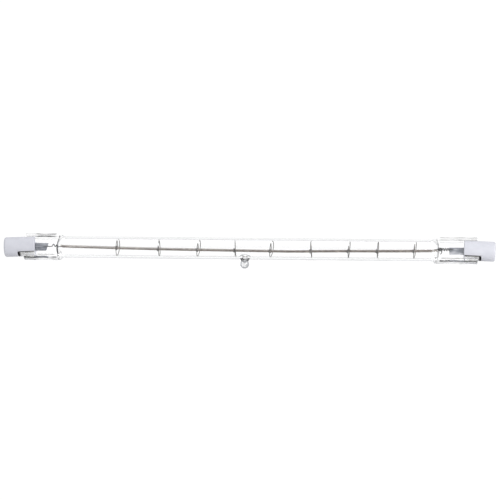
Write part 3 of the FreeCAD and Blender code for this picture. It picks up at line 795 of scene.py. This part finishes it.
def build_cap(side):
    outline = [
        (0, SHANK_HOLE_R), (0, CAP_R), (CAP_LENGTH, CAP_R), (CAP_LENGTH, RECESS_R),
        (RECESS_FLOOR, RECESS_R), (RECESS_FLOOR, SEAT_R), (SEAT_FLOOR, SEAT_R), (SEAT_FLOOR, SHANK_HOLE_R),
    ]
    profile = rounded(outline, {1: 0.45, 2: 0.8, 3: 0.25, 4: 0.1}, steps=8)
    verts, faces = lathe(profile, 112)
    cap = new_piece(f"cap_{side}", on_cap_axis(verts, side) * MM, faces, ceramic, "cap_ceramic")
    face_outward(cap)
    # The slot, with soft inner corners
    soft = 0.9
    slot = [(-1, -SLOT_RISE), (SLOT_DEPTH, -SLOT_RISE), (SLOT_DEPTH, SLOT_RISE), (-1, SLOT_RISE)]
    outline = rounded(slot, {1: soft, 2: soft}, steps=5)
    count = len(outline)
    verts = [(x, y, z) for y in (-6, 6) for x, z in outline]
    faces = [tuple(range(count)), tuple(range(2 * count - 1, count - 1, -1))]
    faces += [(i, (i + 1) % count, count + (i + 1) % count, count + i) for i in range(count)]
    boolean(cap, scratch(on_cap_axis(verts, side), faces), "DIFFERENCE")
    soften(cap, 40)
    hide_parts(f"ceramic_cap_{side}")


def build_contact(side):
    head, face = SEAT_R - 0.05, RECESS_FLOOR - 0.1
    shank_r, shank_end, bore_r, bore_end = 0.95, 7.6, 0.45, 8.9
    outline = [(bore_end, 0.0), (bore_end, bore_r), (shank_end, bore_r), (shank_end, shank_r)]
    outline += [(SEAT_FLOOR, shank_r), (SEAT_FLOOR, head), (face - 0.12, head), (face - 0.04, head - 0.05)]
    # The dimple in its face
    outline += [(face, head - 0.14), (face, 0.8), (face - 0.05, 0.68), (face - 0.14, 0.5)]
    outline += [(face - 0.19, 0.28), (face - 0.2, 0.0)]
    verts, faces = solid_lathe(outline, 64)
    verts = on_cap_axis(verts, side) * MM
    piece = new_piece(f"contact_{side}_button", verts, faces, contact_metal, "contact_metal")
    face_outward(piece)
    soften(piece, 40)
    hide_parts(f"contact_{side}")


for side in ("left", "right"):
    build_cap(side)
    build_contact(side)


# Sealing foils, leads and cement

def build_foil(side, corners):
    """A thin rippled foil with feathered long edges; its four corners run round its outline."""
    rows, columns = 24, 30
    half_thick, level = 0.025, -0.025
    a, b, c, d = (np.array(corner) for corner in corners)
    verts, faces = [], []
    rng = np.random.default_rng(3 if side == "left" else 4)
    ripple = rng.normal(0, 0.02, (rows + 1, columns + 1))
    for sign in (1, -1):
        for i in range(rows + 1):
            v = i / rows
            thin = half_thick * (1 - abs(2 * v - 1) ** 3 * 0.8)
            for j in range(columns + 1):
                u = j / columns
                spot = (a * (1 - u) + b * u) * (1 - v) + (d * (1 - u) + c * u) * v
                verts.append((spot[0], spot[1], level + sign * thin + ripple[i, j] * 0.5))
    size = (rows + 1) * (columns + 1)
    width = columns + 1
    for i in range(rows):
        for j in range(columns):
            k = i * width + j
            faces.append((k, k + 1, k + width + 1, k + width))
            faces.append((size + k, size + k + width, size + k + width + 1, size + k + 1))
    rim = list(range(columns)) + [i * width + columns for i in range(rows)]
    rim += [rows * width + j for j in range(columns, 0, -1)] + [i * width for i in range(rows, 0, -1)]
    for i, k in enumerate(rim):
        following = rim[(i + 1) % len(rim)]
        faces.append((k, k + size, following + size, following))
    piece = new_piece(f"foil_{side}_sheet", np.array(verts) * MM, faces, foil_metal, "molybdenum")
    face_outward(piece)
    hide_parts(f"foil_{side}")


build_foil("left", [(-85.25, 1.55), (-77.6, 1.5), (-78.15, -1.9), (-85.25, -2.05)])
build_foil("right", [(76.95, 1.15), (84.65, 1.2), (84.65, -2.0), (77.1, -2.05)])


def smooth_path(spots):
    """A Catmull-Rom curve through the spots."""
    spots = np.array(spots, float)
    padded = np.vstack([2 * spots[0] - spots[1], spots, 2 * spots[-1] - spots[-2]])
    path = []
    for i in range(1, len(padded) - 2):
        p0, p1, p2, p3 = padded[i - 1 : i + 3]
        for t in np.linspace(0, 1, 10, endpoint=False):
            curve = (2 * p0 - 5 * p1 + 4 * p2 - p3) * t**2 + (3 * p1 - p0 - 3 * p2 + p3) * t**3
            path.append(0.5 * (2 * p1 + (p2 - p0) * t + curve))
    path.append(spots[-1])
    return np.array(path)


def build_inner_leads():
    left = [
        (-79.15, 0.05, 0.12), (-78.2, 0.0, 0.12), (-77.0, -0.05, 0.05), (-76.3, 0.0, 0.0),
        (-75.95, 0.35, 0.0), (-75.75, 0.9, 0.0), (-75.4, 0.85, 0.05), (-75.1, 0.25, 0.05),
        (-74.8, -0.05, 0.0), (-74.5, 0.45, 0.0), (-74.25, 0.75, 0.0), (-73.95, 0.3, 0.0),
        (-73.7, -0.3, 0.0), (-73.3, -0.2, 0.0), (-72.7, 0.08, 0.04), (-71.6, 0.12, 0.05),
        (-69.75, 0.08, 0.03),
    ]
    verts, faces = tube_mesh(smooth_path(left), 0.19, 10)
    piece = new_piece("inner_lead_left_wire", verts * MM, faces, lead_metal, "tungsten")
    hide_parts("inner_lead_left")
    # The right lead is wound: open turns, a tangle at the coil's end and a cut end that hangs as a hook
    turn = np.linspace(0, 2 * math.pi * 4.5, 120)
    wound = np.column_stack([72.75 + 4.2 * turn / turn[-1], 0.35 + 0.52 * np.cos(turn), 0.5 * np.sin(turn)])
    straight = np.array([(68.75, 0.1, 0.04), (70.5, 0.12, 0.05), (71.8, 0.2, 0.05), (72.3, 0.45, 0.02)])
    on_foil = np.array([(77.3, 0.35, 0.15), (78.0, 0.2, 0.13), (78.55, 0.2, 0.13)])
    path = np.vstack([smooth_path(straight), wound, smooth_path(on_foil)])
    hook = smooth_path([
        (73.1, 0.3, -0.35), (73.6, -0.1, -0.4), (74.05, -0.45, -0.2),
        (74.15, -0.9, 0.0), (74.0, -1.35, 0.05), (73.6, -1.8, 0.0),
    ])
    turn = np.linspace(0, 2 * math.pi * 3.5, 90)
    tangle = np.column_stack([72.6 + 1.7 * turn / turn[-1], 0.3 - 0.6 * np.sin(turn), 0.55 * np.cos(turn)])
    lead_r, loose_r = 0.2, 0.16
    wires = [tube_mesh(path, lead_r, 10), tube_mesh(hook, loose_r, 10), tube_mesh(tangle, loose_r, 10)]
    verts, faces = joined(wires)
    piece = new_piece("inner_lead_right_wire", verts * MM, faces, lead_metal, "tungsten")
    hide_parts("inner_lead_right")


build_inner_leads()


def dress(node, material):
    """Give a solid that no piece replaces its material."""
    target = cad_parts[node]
    target.data.materials.clear()
    target.data.materials.append(material)


for side in ("left", "right"):
    dress(f"cement_{side}", cement)
    dress(f"outer_lead_{side}", lead_metal)


for piece in unrolled:
    piece.data.transform(RESTING_ROLL)


# Floor, lights and camera

def make_floor():
    material, shader, add, links = node_material("pale_floor")
    shader.inputs["Base Color"].default_value = (0.62, 0.62, 0.62, 1)
    shader.inputs["Roughness"].default_value = 0.9
    path, maths = add("ShaderNodeLightPath").outputs, maths_adder(add)
    seen = maths("MAXIMUM", path["Is Glossy Ray"], path["Is Transmission Ray"])
    seen = maths("MAXIMUM", seen, path["Is Camera Ray"])
    share = maths("MULTIPLY", seen, 0.86)
    glow = add("ShaderNodeEmission", {"Color": (1, 1, 1, 1), "Strength": 1.12})
    both = add("ShaderNodeMixShader", {0: share, 1: shader.outputs["BSDF"], 2: glow.outputs["Emission"]})
    output = next(node for node in material.node_tree.nodes if node.type == "OUTPUT_MATERIAL")
    links.new(both.outputs["Shader"], output.inputs["Surface"])
    return material


FLOOR_REACH = 3.0
floor_z = cad_box[0][2]
floor = new_piece(
    "floor",
    [(FLOOR_REACH * x, FLOOR_REACH * y, floor_z) for x, y in ((-1, -1), (1, -1), (1, 1), (-1, 1))],
    [(0, 1, 2, 3)],
    make_floor(),
    None,
)

world = bpy.data.worlds.new("studio")
bpy.context.scene.world = world
world.use_nodes = True
world.node_tree.nodes.clear()
add = node_adder(world.node_tree)
path = add("ShaderNodeLightPath").outputs
direction = add("ShaderNodeTexCoord").outputs["Generated"]
height = add("ShaderNodeSeparateXYZ", {"Vector": direction}).outputs["Z"]
room = ramp(add, height, [(0.0, (0.62, 0.62, 0.63)), (0.4, (0.97, 0.97, 0.98))])
light = add("ShaderNodeBackground", {"Color": (0.98, 0.985, 1.0, 1), "Strength": 0.62})
shown = add("ShaderNodeBackground", {"Color": room, "Strength": 1.0})
backdrop = add("ShaderNodeBackground", {"Color": (1, 1, 1, 1), "Strength": 1.0})
seen = maths_adder(add)("MAXIMUM", path["Is Glossy Ray"], path["Is Transmission Ray"])
mixed = add("ShaderNodeMixShader", {0: seen, 1: light.outputs[0], 2: shown.outputs[0]})
final = add("ShaderNodeMixShader", {0: path["Is Camera Ray"], 1: mixed.outputs[0], 2: backdrop.outputs[0]})
add("ShaderNodeOutputWorld", {"Surface": final.outputs[0]})


def add_light(name, place, aim, size, power):
    data = bpy.data.lights.new(name, "AREA")
    data.shape = "RECTANGLE"
    data.size, data.size_y = size
    data.energy = power
    lamp = bpy.data.objects.new(name, data)
    lamp.location = place
    lamp.rotation_euler = (Vector(aim) - Vector(place)).to_track_quat("-Z", "Y").to_euler()
    bpy.context.scene.collection.objects.link(lamp)


add_light("key", (0.38, -0.32, 0.42), (0.06, 0, 0), (0.5, 0.4), 2.2)
add_light("back", (-0.1, 0.55, 0.5), (-0.02, 0, 0), (0.8, 0.3), 0.8)


def add_camera():
    """The photograph's view: 60 degrees up, turned a little so that the right end is nearer."""
    elevation, yaw, roll, distance = math.radians(60), math.radians(3.5), math.radians(0.56), 0.85
    px_per_mm, picture_px, sensor_mm = 2.598, 500, 36
    back = Vector((math.sin(yaw), -math.cos(elevation) * math.cos(yaw), math.sin(elevation) * math.cos(yaw)))
    across = Vector((1, 0, 0))
    across = (across - back * across.dot(back)).normalized()
    up = back.cross(across)
    tilted = across * math.cos(roll) + up * math.sin(roll)
    up = back.cross(tilted)
    data = bpy.data.cameras.new("camera")
    data.sensor_width = sensor_mm
    data.lens = px_per_mm * 1000 * distance / picture_px * sensor_mm
    data.shift_x = 1.55 / picture_px
    data.shift_y = -1.3 / picture_px
    data.clip_start, data.clip_end = 0.01, 20
    camera = bpy.data.objects.new("camera", data)
    turn = Matrix((tilted, up, back)).transposed().to_4x4()
    camera.matrix_world = RESTING_ROLL @ Matrix.Translation(back * distance) @ turn
    bpy.context.scene.collection.objects.link(camera)
    bpy.context.scene.camera = camera


add_camera()
bpy.context.scene.view_settings.view_transform = "Standard"
